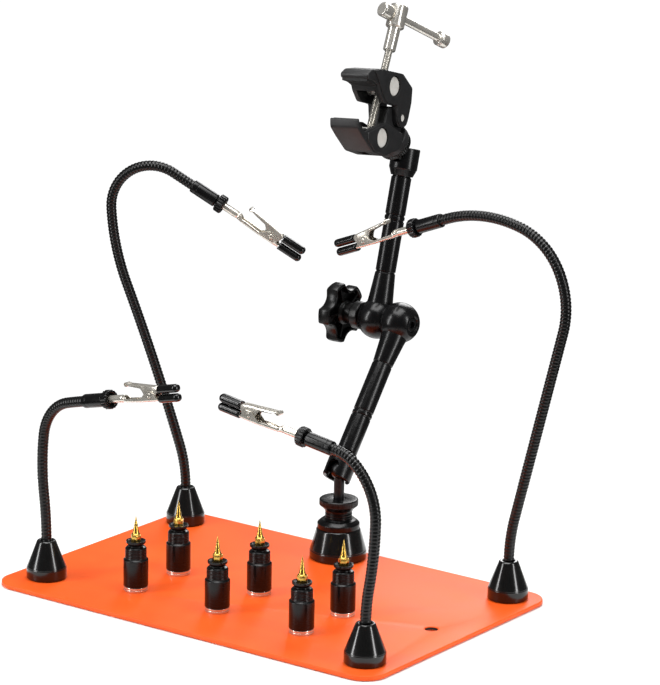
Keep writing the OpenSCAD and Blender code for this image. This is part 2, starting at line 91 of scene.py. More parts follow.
SCREW_SPAN = math.dist(UPPER_NUT, LOWER_NUT)
SCREW = CLAMP @ shift(0, *UPPER_NUT) @ lean(-SCREW_LEAN, "X")
BAR = shift(0, 0, 48.75) @ lean(-16.5, "Z") @ lean(-90, "X")


def across(frame_matrix, y, z, x=0):
    """A frame whose Z runs along the part's X, at y, z."""
    return frame_matrix @ shift(x, y, z) @ lean(90, "Y")


# ------------------------------------------------------------------ camera, light, floor


def set_camera():
    right = Vector((0.80698, 0.59037, 0.01577))
    up = Vector((-0.15904, 0.19153, 0.96852))
    back = right.cross(up)
    lens = bpy.data.cameras.new("camera")
    lens.sensor_width = 36
    lens.lens = 182.3
    lens.clip_start, lens.clip_end = 0.1, 20
    camera = bpy.data.objects.new("camera", lens)
    bpy.context.scene.collection.objects.link(camera)
    camera.matrix_world = shift(1271.51, -1692.70, 709.53) @ Matrix((right, up, back)).transposed().to_4x4()
    bpy.context.scene.camera = camera


def add_softbox(name, place, target, width, height, watts):
    light = bpy.data.lights.new(name, "AREA")
    light.shape = "RECTANGLE"
    light.size, light.size_y = width, height
    light.energy = watts
    box = bpy.data.objects.new(name, light)
    bpy.context.scene.collection.objects.link(box)
    box.location = place
    box.rotation_euler = (Vector(target) - Vector(place)).to_track_quat("-Z", "Y").to_euler()


ROOM_LIGHT = 0.12       # the dim room that the black parts mirror
BACKDROP_LIGHT = 1.05   # the white paper behind the object
FLOOR_R, FLOOR_Z = 300, -0.4    # a small round floor, so that little of it shows in the black balls


def set_studio():
    world = bpy.data.worlds.new("studio")
    world.use_nodes = True
    links, nodes = world.node_tree.links, world.node_tree.nodes
    ray = nodes.new("ShaderNodeLightPath")
    level = nodes.new("ShaderNodeMapRange")
    level.inputs["To Min"].default_value, level.inputs["To Max"].default_value = ROOM_LIGHT, BACKDROP_LIGHT
    links.new(ray.outputs["Is Camera Ray"], level.inputs["Value"])
    links.new(level.outputs["Result"], nodes["Background"].inputs["Strength"])
    nodes["Background"].inputs["Color"].default_value = (1, 1, 1, 1)
    bpy.context.scene.world = world
    bpy.context.scene.view_settings.view_transform = "Standard"
    add_softbox("overhead", (0.0, -0.1, 1.5), (0, 0, 0), 1.1, 1.1, 25)
    add_softbox("left_box", (-0.75, -1.05, 0.65), (0, 0, 0.15), 0.22, 1.2, 11)
    add_softbox("right_box", (1.35, 0.05, 0.6), (0, 0, 0.15), 0.22, 1.2, 10)
    add_softbox("rear_box", (-0.5, 1.3, 0.9), (0, 0, 0.15), 0.6, 0.9, 10)


# ------------------------------------------------------------------ finishes


def paint(code):
    """An sRGB hex value as a linear colour."""
    parts = [int(code[i:i + 2], 16) / 255 for i in (1, 3, 5)]
    return (*[c / 12.92 if c <= 0.04045 else ((c + 0.055) / 1.055) ** 2.4 for c in parts], 1)


def add_node(material, kind, inputs=None, **settings):
    """Adds a node with its settings; an input is a value or the socket that feeds it."""
    node = material.node_tree.nodes.new(kind)
    for key, value in settings.items():
        setattr(node, key, value)
    for key, value in (inputs or {}).items():
        if isinstance(value, bpy.types.NodeSocket):
            material.node_tree.links.new(value, node.inputs[key])
        else:
            node.inputs[key].default_value = value
    return node


def make_finish(name, light, dark, patch_mm, rough, metal=0.0, grain_mm=0.3, relief_mm=0.01,
                turned_marks=False, **sockets):
    """Colour drifts from dark to light over patch_mm, roughness over rough, and the surface has relief_mm of
    texture at grain_mm. Turned marks run round the part's own Z."""
    material = bpy.data.materials.new(name)
    material.use_nodes = True
    material.node_tree.nodes.clear()
    where = add_node(material, "ShaderNodeTexCoord").outputs["Object"]
    fine = where
    if turned_marks:
        flat = add_node(material, "ShaderNodeVectorMath", {0: where, 1: (1, 1, 0)}, operation="MULTIPLY")
        radius = add_node(material, "ShaderNodeVectorMath", {0: flat.outputs[0]}, operation="LENGTH")
        height = add_node(material, "ShaderNodeSeparateXYZ", {0: where})
        fine = add_node(material, "ShaderNodeCombineXYZ",
                        {"X": radius.outputs["Value"], "Z": height.outputs["Z"]}).outputs[0]
    patches = add_node(material, "ShaderNodeTexNoise",
                       {"Vector": where, "Scale": 1 / (patch_mm * MM), "Detail": 4.0, "Roughness": 0.6})
    grain = add_node(material, "ShaderNodeTexNoise",
                     {"Vector": fine, "Scale": 1 / (grain_mm * MM), "Detail": 3.0, "Roughness": 0.55})
    colour = add_node(material, "ShaderNodeValToRGB", {"Fac": patches.outputs["Fac"]})
    colour.color_ramp.elements[0].position, colour.color_ramp.elements[1].position = 0.3, 0.7
    colour.color_ramp.elements[0].color, colour.color_ramp.elements[1].color = paint(dark), paint(light)
    both = add_node(material, "ShaderNodeMath", {0: patches.outputs["Fac"], 1: grain.outputs["Fac"]},
                    operation="ADD")
    roughness = add_node(material, "ShaderNodeMapRange",
                         {"Value": both.outputs[0], "From Min": 0.7, "From Max": 1.3,
                          "To Min": rough[0], "To Max": rough[1]})
    bump = add_node(material, "ShaderNodeBump",
                    {"Height": grain.outputs["Fac"], "Distance": relief_mm * MM, "Strength": 1.0})
    shader = add_node(material, "ShaderNodeBsdfPrincipled",
                      {"Base Color": colour.outputs["Color"], "Roughness": roughness.outputs["Result"],
                       "Metallic": metal, "Normal": bump.outputs["Normal"], **sockets})
    add_node(material, "ShaderNodeOutputMaterial", {"Surface": shader.outputs["BSDF"]})
    return material


FINISH = {}


def mix_finishes():
    rows = [
        # Powder-coated steel: an even orange skin with a fine orange-peel texture, satin
        dict(name="powder_coated_steel", light="#F8611F", dark="#F25817", patch_mm=45, rough=(0.42, 0.52),
             grain_mm=0.5, relief_mm=0.012, **{"Specular IOR Level": 0.25}),
        # Black anodised aluminium, lathe turned: deep black with faint rings that stretch the highlights
        dict(name="black_anodised_aluminium", light="#0B0B0C", dark="#060607", patch_mm=9, rough=(0.2, 0.3),
             grain_mm=0.35, relief_mm=0.004, turned_marks=True, **{"Specular IOR Level": 0.32}),
        # Black lacquered steel, polished: wet-looking highlights on the feet
        dict(name="black_lacquered_steel", light="#0D0D0D", dark="#070707", patch_mm=12, rough=(0.16, 0.24),
             grain_mm=0.6, relief_mm=0.002, **{"Specular IOR Level": 0.35, "Coat Weight": 0.4,
                                               "Coat Roughness": 0.08}),
        # Black enamelled spiral steel hose: each turn catches a small point of light
        dict(name="black_enamelled_hose", light="#0D0D0D", dark="#060606", patch_mm=8, rough=(0.22, 0.34),
             grain_mm=0.4, relief_mm=0.004, **{"Specular IOR Level": 0.35}),
        # Bright nickel on pressed steel: warm white metal, part milky, a little uneven from the pressing
        dict(name="bright_nickel_plate", light="#E9E4DA", dark="#D2CCC0", patch_mm=5, rough=(0.14, 0.26),
             metal=0.75, grain_mm=0.5, relief_mm=0.005),
        # Bright nickel on turned steel: clear reflections over a milky base, with fine lathe rings
        dict(name="nickel_plated_turning", light="#E6E2DA", dark="#CFCBC2", patch_mm=7, rough=(0.14, 0.24),
             metal=0.75, grain_mm=0.3, relief_mm=0.004, turned_marks=True),
        # Soft PVC, dipped: smooth, very glossy black sleeves
        dict(name="dipped_black_pvc", light="#0A0A0A", dark="#050505", patch_mm=4, rough=(0.12, 0.22),
             grain_mm=1.2, relief_mm=0.01),
        # Free-cutting brass, turned to a point: yellow metal with tool rings
        dict(name="turned_brass", light="#EBC367", dark="#D8AA4A", patch_mm=3, rough=(0.2, 0.32), metal=1.0,
             grain_mm=0.25, relief_mm=0.004, turned_marks=True),
        # Glass-filled nylon, injection moulded: satin black with a spark-eroded grain
        dict(name="moulded_black_nylon", light="#090909", dark="#050505", patch_mm=10, rough=(0.26, 0.36),
             grain_mm=0.4, relief_mm=0.006, **{"Specular IOR Level": 0.32}),
        # Die-cast aluminium under black paint: a fine sand-like texture, satin
        dict(name="painted_die_casting", light="#202021", dark="#161617", patch_mm=8, rough=(0.42, 0.55),
             grain_mm=0.35, relief_mm=0.02),
        # Faced, vapour-blasted steel: the ends of the barrel nuts, pale and mostly matt, with faint rings
        dict(name="faced_steel", light="#F4F2EC", dark="#E6E3DC", patch_mm=4, rough=(0.5, 0.62), metal=0.3,
             grain_mm=0.3, relief_mm=0.008, turned_marks=True),
        # Moulded nitrile rubber: dull black jaw pads
        dict(name="moulded_rubber", light="#101010", dark="#090909", patch_mm=3, rough=(0.6, 0.75),
             grain_mm=0.3, relief_mm=0.015),
        # Black oxide on steel: studs and bolts, dark with an oily gleam
        dict(name="black_oxide_steel", light="#141416", dark="#0B0B0C", patch_mm=4, rough=(0.26, 0.36),
             metal=0.3, grain_mm=0.3, relief_mm=0.005, turned_marks=True),
        # Spring wire, blued steel: brownish dark metal inside the clips
        dict(name="blued_spring_wire", light="#6A5A48", dark="#453A30", patch_mm=2, rough=(0.3, 0.4),
             metal=1.0, grain_mm=0.3, relief_mm=0.003),
        # Painted floor board: pale and matt
        dict(name="pale_floor_paint", light="#F6F6F5", dark="#F1F1F0", patch_mm=300, rough=(0.7, 0.8),
             grain_mm=2, relief_mm=0.02),
    ]
    for row in rows:
        FINISH[row["name"]] = make_finish(**row)


# ------------------------------------------------------------------ shaping


def make_piece(name, points, faces, crease=32):
    """A piece from points in millimetres; edges sharper than crease stay crisp."""
    mesh = bpy.data.meshes.new(name)
    mesh.from_pydata([metres(p) for p in points], [], faces)
    shape = bmesh.new()
    shape.from_mesh(mesh)
    bmesh.ops.remove_doubles(shape, verts=shape.verts, dist=1e-7)
    bmesh.ops.recalc_face_normals(shape, faces=shape.faces)
    shape.to_mesh(mesh)
    shape.free()
    piece = bpy.data.objects.new(name, mesh)
    bpy.context.scene.collection.objects.link(piece)
    return smooth(piece, crease)


def smooth(piece, crease=32):
    for face in piece.data.polygons:
        face.use_smooth = True
    piece.data.set_sharp_from_angle(angle=math.radians(crease))
    return piece


def settle(piece):
    """Applies the piece's modifiers."""
    bpy.context.view_layer.update()
    seen = piece.evaluated_get(bpy.context.evaluated_depsgraph_get())
    mesh = bpy.data.meshes.new_from_object(seen)
    piece.modifiers.clear()
    piece.data = mesh
    return piece


def cut(piece, *tools):
    for tool in tools:
        knife = piece.modifiers.new("cut", "BOOLEAN")
        knife.operation, knife.object, knife.solver = "DIFFERENCE", tool, "EXACT"
    settle(piece)
    for tool in tools:
        bpy.data.objects.remove(tool)
    return piece


def break_edges(piece, width, steps=2, crease=32):
    """Rounds the piece's sharp edges."""
    edge = piece.modifiers.new("edge", "BEVEL")
    edge.width, edge.segments = width * MM, steps
    edge.limit_method, edge.angle_limit = "ANGLE", math.radians(28)
    edge.use_clamp_overlap = True
    return smooth(settle(piece), crease)


def join(name, *parts):
    """One piece from several, each already placed in the same frame."""
    shape = bmesh.new()
    for part in parts:
        part.data.transform(part.matrix_world)
        shape.from_mesh(part.data)
        bpy.data.objects.remove(part)
    mesh = bpy.data.meshes.new(name)
    shape.to_mesh(mesh)
    shape.free()
    piece = bpy.data.objects.new(name, mesh)
    bpy.context.scene.collection.objects.link(piece)
    return piece


def moved(piece, matrix):
    piece.matrix_world = matrix
    bpy.context.view_layer.update()
    return piece


def ease(points, soft, closed=False, steps=4):
    """Rounds the corners of a line of points."""
    out = []
    for i, p in enumerate(points):
        if not closed and i in (0, len(points) - 1):
            out.append(tuple(p))
            continue
        p, a, b = Vector(p), Vector(points[i - 1]), Vector(points[(i + 1) % len(points)])
        before, after = a - p, b - p
        reach = min(soft, 0.45 * before.length, 0.45 * after.length)
        if reach < 1e-4 or before.angle(after) > math.radians(168):
            out.append(tuple(p))
            continue
        s, e = p + before.normalized() * reach, p + after.normalized() * reach
        for k in range(steps + 1):
            t = k / steps
            out.append(tuple(s * (1 - t) ** 2 + p * 2 * t * (1 - t) + e * t ** 2))
    return out


def turn_part(name, profile, soft=0.3, sides=72, teeth=None, closed=False):
    """Turns a profile of [radius, height] round Z. Teeth are (count, depth, radius they start at, twist)."""
    line = ease(profile, soft, closed) if soft else profile
    points, rings, faces = [], [], []
    for r, z in line:
        if r < 1e-4:
            rings.append([len(points)])
            points.append((0, 0, z))
            continue
        rings.append(range(len(points), len(points) + sides))
        for k in range(sides):
            angle = 2 * math.pi * k / sides
            reach = r
            if teeth and r >= teeth[2]:
                reach -= teeth[1] * (0.5 - 0.5 * math.cos(teeth[0] * angle + teeth[3] * z))
            points.append((reach * math.cos(angle), reach * math.sin(angle), z))
    pairs = list(zip(rings, rings[1:])) + ([(rings[-1], rings[0])] if closed else [])
    for a, b in pairs:
        for k in range(sides):
            n = (k + 1) % sides
            if len(a) == 1 and len(b) == 1:
                continue
            if len(a) == 1:
                faces.append((a[0], b[k], b[n]))
            elif len(b) == 1:
                faces.append((a[k], b[0], a[n]))
            else:
                faces.append((a[k], b[k], b[n], a[n]))
    return make_piece(name, points, faces)


def cast_block(name, outline, x0, x1, corner=0.0):
    """An outline of [y, z] carried along X."""
    line = ease(outline, corner, closed=True) if corner else outline
    n = len(line)
    points = [(x, *p) for x in (x0, x1) for p in line]
    faces = [tuple(range(n - 1, -1, -1)), tuple(range(n, 2 * n))]
    faces += [(i, (i + 1) % n, n + (i + 1) % n, n + i) for i in range(n)]
    return make_piece(name, points, faces)


def peg(radius, low, high, sides=48):
    """A plain round cutter along Z."""
    return turn_part("cutter", [(0, low), (radius, low), (radius, high), (0, high)], 0, sides)


def loft(name, sections, closed_ring=True, caps=True, crease=32):
    """Joins sections, each a list of points."""
    n = len(sections[0])
    points = [p for section in sections for p in section]
    last = n if closed_ring else n - 1
    faces = [(i * n + k, i * n + (k + 1) % n, (i + 1) * n + (k + 1) % n, (i + 1) * n + k)
             for i in range(len(sections) - 1) for k in range(last)]
    if caps:
        faces += [tuple(range(n - 1, -1, -1)), tuple(range(len(points) - n, len(points)))]
    return make_piece(name, points, faces, crease)


def set_down(piece, where, body, finish, slot, *nodes):
    """Puts a finished piece in its place, on its body."""
    if where is not None:
        moved(piece, where)
    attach(piece, body)
    piece.data.materials.clear()
    piece.data.materials.append(FINISH[finish])
    if nodes:
        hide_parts(*nodes)
    return piece


# ------------------------------------------------------------------ plate and posts


def make_plate():
    corner = 16
    outline = []
    for cx, cy, start in ((134, 84, 0), (-134, 84, 90), (-134, -84, 180), (134, -84, 270)):
        for k in range(17):
            a = math.radians(start + 90 * k / 16)
            outline.append((cx + corner * math.cos(a), cy + corner * math.sin(a)))
    n = len(outline)
    points = [(x, y, z) for z in (0, PLATE_TOP) for x, y in outline]
    faces = [tuple(range(n - 1, -1, -1)), tuple(range(n, 2 * n))]
    faces += [(i, (i + 1) % n, n + (i + 1) % n, n + i) for i in range(n)]
    plate = make_piece("plate", points, faces)
    plate = cut(plate, moved(peg(HOLE_R, -1, 4, 64), shift(HOLE_X, 0, 0)))
    plate = break_edges(plate, 0.7, 4)
    set_down(plate, None, "plate", "powder_coated_steel", "plate_powder_coat", "base_plate")
    plate.data.materials.append(FINISH["black_oxide_steel"])
    for face in plate.data.polygons:
        x, y, z = face.center / MM
        if math.hypot(x - HOLE_X, y) < HOLE_R + 0.05 and 0.8 < z < 2.4:
            face.material_index = 1     # the wall of the hole, made darker than the plate's coat


def rib_line(r, low, high, count, depth):
    """Fine grooves on a turned part, as profile points."""
    step = (high - low) / count
    line = []
    for i in range(count):
        z = low + i * step
        line += [(r, z + 0.15 * step), (r - depth, z + 0.4 * step), (r - depth, z + 0.6 * step),
                 (r, z + 0.85 * step)]
    return line


def make_posts():
    for k, (x, y) in enumerate(POSTS, 1):
        body = f"board_post_{k}"
        at = shift(x, y, PLATE_TOP)
        disc = turn_part(f"post_magnet_{k}", [(0, 0), (7.7, 0), (7.7, 1.35), (7.5, 1.5), (7.7, 1.65),
                                              (7.7, 3), (0, 3)],
                         0.25)
        set_down(disc, at, body, "nickel_plated_turning", "magnet_nickel")
        line = [(0, 3), (7.5, 3), (8, 3.4), (8, 20.7), (6.9, 21.7)]
        line += rib_line(6.9, 22.2, 27.8, 6, 0.22)
        line += [(6.9, 28.0), (6.1, 29), (4.6, 29.3), (4.5, 29.9), (6.3, 31.8), (6.3, 33.2), (4.9, 33.25),
                 (4.7, 32.9), (0, 32.9)]
        barrel = turn_part(f"post_barrel_{k}", line, 0.18)
        set_down(barrel, at, body, "black_anodised_aluminium", "post_anodised", f"post_{k}")
        six = [(3.45 * math.cos(math.radians(60 * i + 15 * k)),
                3.45 * math.sin(math.radians(60 * i + 15 * k)))
               for i in range(6)]
        hexagon = loft("hex", [[(a, b, z) for a, b in six] for z in (32.9, 37.0)])
        hexagon = break_edges(hexagon, 0.22)
        point = turn_part("point", [(0, 36.5), (2.9, 36.5), (2.9, 37.4), (2.35, 37.9), (1.9, 39.2),
                                    (0.14, 49.2), (0, 49.3)], 0.12, 48)
        tip = smooth(join(f"post_point_{k}", hexagon, point))
        set_down(tip, at, body, "turned_brass", "turned_brass", f"post_tip_{k}")


# ------------------------------------------------------------------ flexible arms


def neck_line(arcs, step):
    """Stations [x, z, lean] along the neck from the foot's top, in the plane of the arm."""
    stations, x, z, angle = [], 0.0, 0.0, 0.0
    for length, bend in arcs:
        count = max(1, round(length / step))
        for _ in range(count):
            stations.append((x, z, angle))
            middle = math.radians(angle + bend / count / 2)
            x += length / count * math.sin(middle)
            z += length / count * math.cos(middle)
            angle += bend / count
    stations.append((x, z, angle))
    return stations


def foot_frame(arm):
    return shift(arm[0], arm[1], PLATE_TOP) @ lean(arm[2], "Z")


def neck_end(arm):
    x, z, angle = neck_line(arm[4], 1.0)[-1]
    return foot_frame(arm) @ shift(x, 0, FOOT_H + z) @ lean(angle, "Y")


def make_foot(k, arm):
    line = [(0, 0.05), (11.6, 0.05), (12.6, 0.3), (13, 0.8), (13, 7.2), (12.75, 7.5), (12.75, 7.9),
            (12.6, 8.1), (6.3, 24.6), (5.6, 25.3), (4.1, 25.3), (3.9, 24.9), (3.9, 23), (0, 23)]
    foot = turn_part(f"arm_foot_{k}", line, 0.2, 96)
    set_down(foot, foot_frame(arm), f"arm_{k}_foot", "black_lacquered_steel", "foot_black", f"foot_{k}")
    disc = turn_part(f"foot_magnet_{k}", [(0, 0), (11, 0), (11, 0.6), (0, 0.6)], 0.1)
    set_down(disc, foot_frame(arm), f"arm_{k}_foot", "nickel_plated_turning", "magnet_nickel")


def make_hose(k, arm):
    """One ribbed hose over both halves of the neck, baked as one fixed piece."""
    pitch, per_turn, sides = 2.3, 6, 20
    step = pitch / per_turn
    stations = [(0, -2.5 + step * i, 0) for i in range(int(2.5 / step))] + neck_line(arm[4], step)
    at = foot_frame(arm)
    sections = []
    travelled = 0.0
    for x, z, angle in stations:
        c, s = math.cos(math.radians(angle)), math.sin(math.radians(angle))
        ring = []
        for i in range(sides):
            turn = 2 * math.pi * i / sides
            wave = math.cos(2 * math.pi * (travelled / pitch - i / sides))
            r = NECK_R - 0.02 - 0.30 * (0.5 - 0.5 * wave) ** 1.6
            a, b = r * math.cos(turn), r * math.sin(turn)
            ring.append((x + a * c, b, FOOT_H + z - a * s))
        sections.append(ring)
        travelled += step
    hose = loft(f"hose_{k}", sections, crease=60)
    hose.matrix_world = at
    bpy.context.view_layer.update()
    bend = neck_line(arm[4][:arm[3]], 1.0)[-1]
    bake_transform(hose)
    hose.data.materials.append(FINISH["black_enamelled_hose"])
    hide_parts(f"neck_lower_{k}", f"neck_upper_{k}")


def make_collar(k, arm):
    end, body = neck_end(arm), f"arm_{k}_neck"
    line = [(3.3, -14.5), (4.1, -14.5), (4.5, -13.9), (4.5, -11), (4.42, -10.8), (4.42, -10.4), (4.5, -10.2),
            (4.5, 3.6), (4.1, 4.2), (3.6, 4.3), (3.6, 7.4), (2.6, 7.4), (2.6, 5.0), (0, 5.0)]
    ferrule = turn_part(f"ferrule_{k}", line, 0.25)
    set_down(ferrule, end, body, "black_anodised_aluminium", "collar_black", f"collar_{k}")
    ring = turn_part(f"knurled_ring_{k}", [(3.65, 5.2), (5.6, 5.2), (6.2, 5.8), (6.2, 9.8), (5.6, 10.4),
                                          (4.4, 10.4), (4.0, 9.9), (3.65, 9.0)], 0.2, 160,
                                          (18, 0.6, 5.5, 0.0), closed=True)
    set_down(ring, end, body, "black_anodised_aluminium", "collar_black")


def straight(table, x):
    """A value read off a table of [x, value]."""
    for (x0, v0), (x1, v1) in zip(table, table[1:]):
        if x <= x1:
            return v0 + (v1 - v0) * max(0.0, (x - x0) / (x1 - x0))
    return table[-1][1]


def channel_section(x, half, low, high, corner, flip=1):
    """A folded channel, open at the top, from one edge round to the other."""
    corner = min(corner, half * 0.9)
    points = [(half, high), (half, (high * 0.6 + (low + corner) * 0.4)), (half, low + corner)]
    points += [(half - corner + corner * math.cos(t), low + corner - corner * math.sin(t))
               for t in (math.pi / 8 * j for j in range(1, 4))]
    points += [(half - corner, low), (half * 0.4, low), (0.0, low)]
    points += [(-y, z) for y, z in reversed(points[:-1])]
    return [(x, y, z * flip) for y, z in points]


def barrel_section(x, r, gap, centre=0.0, count=17):
    """A rolled tube with its seam at the top."""
    section = []
    for j in range(count):
        a = math.radians(gap + (360 - 2 * gap) * j / (count - 1))
        section.append((x, r * math.sin(a), centre + r * math.cos(a)))
    return section


def fold_sheet(name, sections, thick):
    sheet = loft(name, sections, closed_ring=False, caps=False, crease=50)
    skin = sheet.modifiers.new("gauge", "SOLIDIFY")
    skin.thickness, skin.offset = thick * MM, 0
    settle(sheet)
    return break_edges(sheet, 0.1, 1, 40)


def mix_sections(a, b, t):
    t = t * t * (3 - 2 * t)
    return [tuple(p + (q - p) * t for p, q in zip(u, v)) for u, v in zip(a, b)]


def make_clip(k, arm):
    at = neck_end(arm) @ shift(0, 0, COLLAR_FACE) @ lean(-90, "Y")
    base, lever = f"arm_{k}_clip", f"arm_{k}_lever"

    # Lower half: a rolled barrel that opens into a channel with raised cheeks
    top = [(12, 0.8), (15.5, -0.1), (20, -0.2), (29.5, -0.8), (31.5, 0.6), (34.8, 3.3), (35.6, 3.6),
           (39.2, 3.6), (40.2, 3.3), (41.6, 2.2), (43, -0.4), (44.6, -1.9)]
    bottom = [(12, -2.4), (30, -2.9), (44.6, -2.9)]
    half = [(12, 2.2), (20, 2.6), (30, 3.2), (41, 3.2), (44.6, 2.6)]
    sections = []
    x = 4.5 - COLLAR_FACE
    while x < 44.7:
        squeeze = 0.28 if abs(x - 11.2) < 0.5 else 0.0
        tube = barrel_section(x, 2.2 - squeeze, 9)
        if x <= 12:
            sections.append(tube)
        else:
            high, low = straight(top, x), straight(bottom, x) + 0.3
            channel = channel_section(x, straight(half, x), low, max(high, low + 0.5), 0.9)
            sections.append(mix_sections(tube, channel, min(1.0, (x - 12) / 3.5)))
        x += 0.5
    lower = fold_sheet(f"clip_channel_{k}", sections, 0.55)
    set_down(lower, at, base, "bright_nickel_plate", "clip_nickel", f"clip_base_{k}")

    # Upper half: a folded lever with deep cheeks at the pivot and a curled thumb end
    crown = [(17.5, 9.5), (43.2, 6.35), (44.6, 5.4)]
    skirt = [(17.5, 8.6), (22, 7.4), (30.3, 5.8), (31.6, 4.2), (33.2, 0.8), (35.6, -1.1), (39.8, -1.1),
             (42.4, -0.2), (44.6, 3.0)]
    half = [(17.5, 2.3), (19, 2.75), (31, 2.6), (34, 2.45), (41, 2.45), (44.6, 2.2)]
    sections = []
    x = 17.5
    while x < 44.7:
        high, low = straight(crown, x) - 0.27, straight(skirt, x)
        sections.append(channel_section(x, straight(half, x), -high, -min(low, high - 0.45), 0.7, -1))
        x += 0.5
    upper = fold_sheet(f"clip_lever_{k}_sheet", sections, 0.5)
    curl = []
    for j in range(22):
        a = math.radians(100 + 15 * j)
        r = 1.0 - 0.006 * j
        curl.append((17.15 + r * math.cos(a), 8.75 + r * math.sin(a)))
    rolled = loft("curl", [[(px, y, pz) for y in (-2.3, -2.0, 0, 2.0, 2.3)] for px, pz in curl],
                  closed_ring=False, caps=False)
    skin = rolled.modifiers.new("gauge", "SOLIDIFY")
    skin.thickness, skin.offset = 0.45 * MM, 1
    settle(rolled)
    upper = smooth(join(f"clip_lever_sheet_{k}", upper, rolled), 40)
    set_down(upper, at, lever, "bright_nickel_plate", "clip_nickel", f"clip_lever_{k}")

    # Rivet with a dimpled head on each side, and the coil spring between the cheeks
    head = [(0, 3.15), (0.55, 3.2), (0.8, 3.75), (1.5, 3.75), (1.75, 3.45), (1.75, 3.1), (1.1, 3.1), (1.1, 0)]
    line = head[::-1]
    rivet = turn_part(f"clip_rivet_{k}", [(r, -z) for r, z in head[:-1]] + [(1.1, 0)] + line[1:], 0.1, 32)
    set_down(rivet, at @ shift(37.7, 0, 1.0) @ lean(90, "X"), base, "bright_nickel_plate", "clip_nickel")
    path = [(30.5, -1.4, 4.9), (34.5, -1.3, 3.2)]
    for j in range(73):
        a = math.radians(60 + 20 * j)
        path.append((37.7 + 1.75 * math.cos(a), -1.3 + 2.6 * j / 72, 1.0 + 1.75 * math.sin(a)))
    path += [(34.5, 1.35, -0.9), (30.5, 1.4, -2.0)]
    set_down(bend_wire(f"clip_spring_{k}", path, 0.3), at, base, "blued_spring_wire", "clip_nickel")

    for name, z, body in (("low", -1.75, base), ("high", 4.05, lever)):
        set_down(make_sleeve(f"jaw_sleeve_{name}_{k}", z), at, body, "dipped_black_pvc", "clip_nickel")


def make_sleeve(name, z):
    """A dipped sleeve over one jaw, with a domed end and a thin open mouth."""
    start, stop, half_w, half_h, dome = 44.7, 62.0, 3.1, 2.66, 2.5
    sections = []
    stations = [(start + 0.7, 0.66), (start + 0.15, 0.74), (start, 0.86), (start + 0.12, 0.95),
                (start + 0.5, 1.0)]
    stations += [(x, 1.0 + 0.012 * math.sin(x * 1.7)) for x in (46.5, 48, 50, 52, 54, 56, 58, 59.2)]
    for j in range(1, 9):
        a = math.pi / 2 * j / 8.4
        stations.append((stop - dome + dome * math.sin(a), math.cos(a) ** 0.9))
    for x, size in stations:
        ring = []
        for i in range(32):
            a = 2 * math.pi * i / 32
            c, s = math.cos(a), math.sin(a)
            power = 0.88
            frill = max(0, 1 - (x - start) / 1.2) * 0.8 * (0.5 + 0.5 * math.cos(4 * a))
            ring.append((x + frill, half_w * size * math.copysign(abs(c) ** power, c),
                         z + half_h * size * math.copysign(abs(s) ** power, s)))
        sections.append(ring)
    return loft(name, sections, crease=50)


def bend_wire(name, path, r, sides=10):
    """Round wire along a path of points."""
    path = [Vector(p) for p in path]
    sections = []
    for i, p in enumerate(path):
        way = (path[min(i + 1, len(path) - 1)] - path[max(i - 1, 0)]).normalized()
        side = way.orthogonal().normalized() if i == 0 else (side - way * side.dot(way)).normalized()
        other = way.cross(side)
        sections.append([tuple(p + r * (side * math.cos(a) + other * math.sin(a)))
                         for a in (2 * math.pi * j / sides for j in range(sides))])
    return loft(name, sections, crease=60)


# ------------------------------------------------------------------ stand


def make_stand():
    black, oxide = "black_anodised_aluminium", "black_oxide_steel"
    foot = turn_part("stand_cone", [(0, 3.05), (17, 3.05), (18.3, 3.4), (18.8, 4), (18.8, 8.6), (18.5, 9),
                                    (18.5, 9.4), (14.6, 22.8), (14.0, 23.5), (0, 23.5)], 0.25, 120)
    set_down(foot, STAND, "stand", "black_lacquered_steel", "arm_anodised", "stand_foot")
    disc = turn_part("stand_magnet_disc", [(0, 3), (16, 3), (16, 3.8), (0, 3.8)], 0.1)
    set_down(disc, STAND, "stand", "nickel_plated_turning", "magnet_nickel", "stand_magnet")
    line = [(0, 23.5), (13.6, 23.5), (14, 23.9), (14, 27.0), (13.2, 27.9), (11.2, 29.5), (9.4, 29.5)]
    line += rib_line(9.0, 29.7, 35.1, 3, 0.7) + [(9.0, 35.2), (0, 35.2)]
    set_down(turn_part("stand_step", line, 0.25, 96), STAND, "stand", black, "arm_anodised", "stand_cap")
    line = [(0, 35.3), (9.3, 35.3), (9.3, 36.1), (12.3, 39.0), (12.85, 39.5), (12.85, 43.0), (12.2, 43.6),
            (5, 43.6), (4.6, 43.2), (0, 43.2)]
    set_down(turn_part("stand_wheel", line, 0.3, 240, (60, 0.2, 12.8, 0.0)), STAND, "lower_wheel", black,
             "arm_anodised", "lower_lock_wheel")
    for name, body, where, shank, low, node in (
            ("stand_ball", "stand", shift(*LOWER_BALL), 3.5, -30, "lower_ball_stud"),
            ("clamp_ball", "top_stud", STUD @ lean(180, "X"), 3.0, -26, "upper_ball_stud")):
        line = [(0, low), (shank, low), (shank, -7)]
        line += [(6 * math.sin(a), -6 * math.cos(a))
                 for a in (math.radians(34 + 146 * j / 24) for j in range(24))]
        set_down(turn_part(name, line + [(0, 6)], 0.0, 64), where, body, oxide, "stud_black_steel", node)


def make_socket(name, where, body, node):
    line = [(0, -6.5), (7.3, -6.5), (9.0, -6.5), (9.5, -6.0), (9.5, 7.5), (9.1, 8.1), (7.4, 12.5), (0, 12.5)]
    cup = turn_part(name, line, 0.3, 96)
    bore = turn_part("bore", [(0, -8), (7.35, -8), (5.9, -2.5), (6.15, 0), (5.4, 3), (0, 4.5)], 0.4, 64)
    slot = cast_block("slot", [(-14, -14), (14, -14), (14, 0), (-14, 0)], -4.1, 4.1)
    end = moved(peg(4.1, -14, 14, 64), lean(90, "X"))
    cup = cut(cup, bore, slot, end)
    set_down(break_edges(cup, 0.35, 2), where, body, "black_anodised_aluminium", "arm_anodised", node)


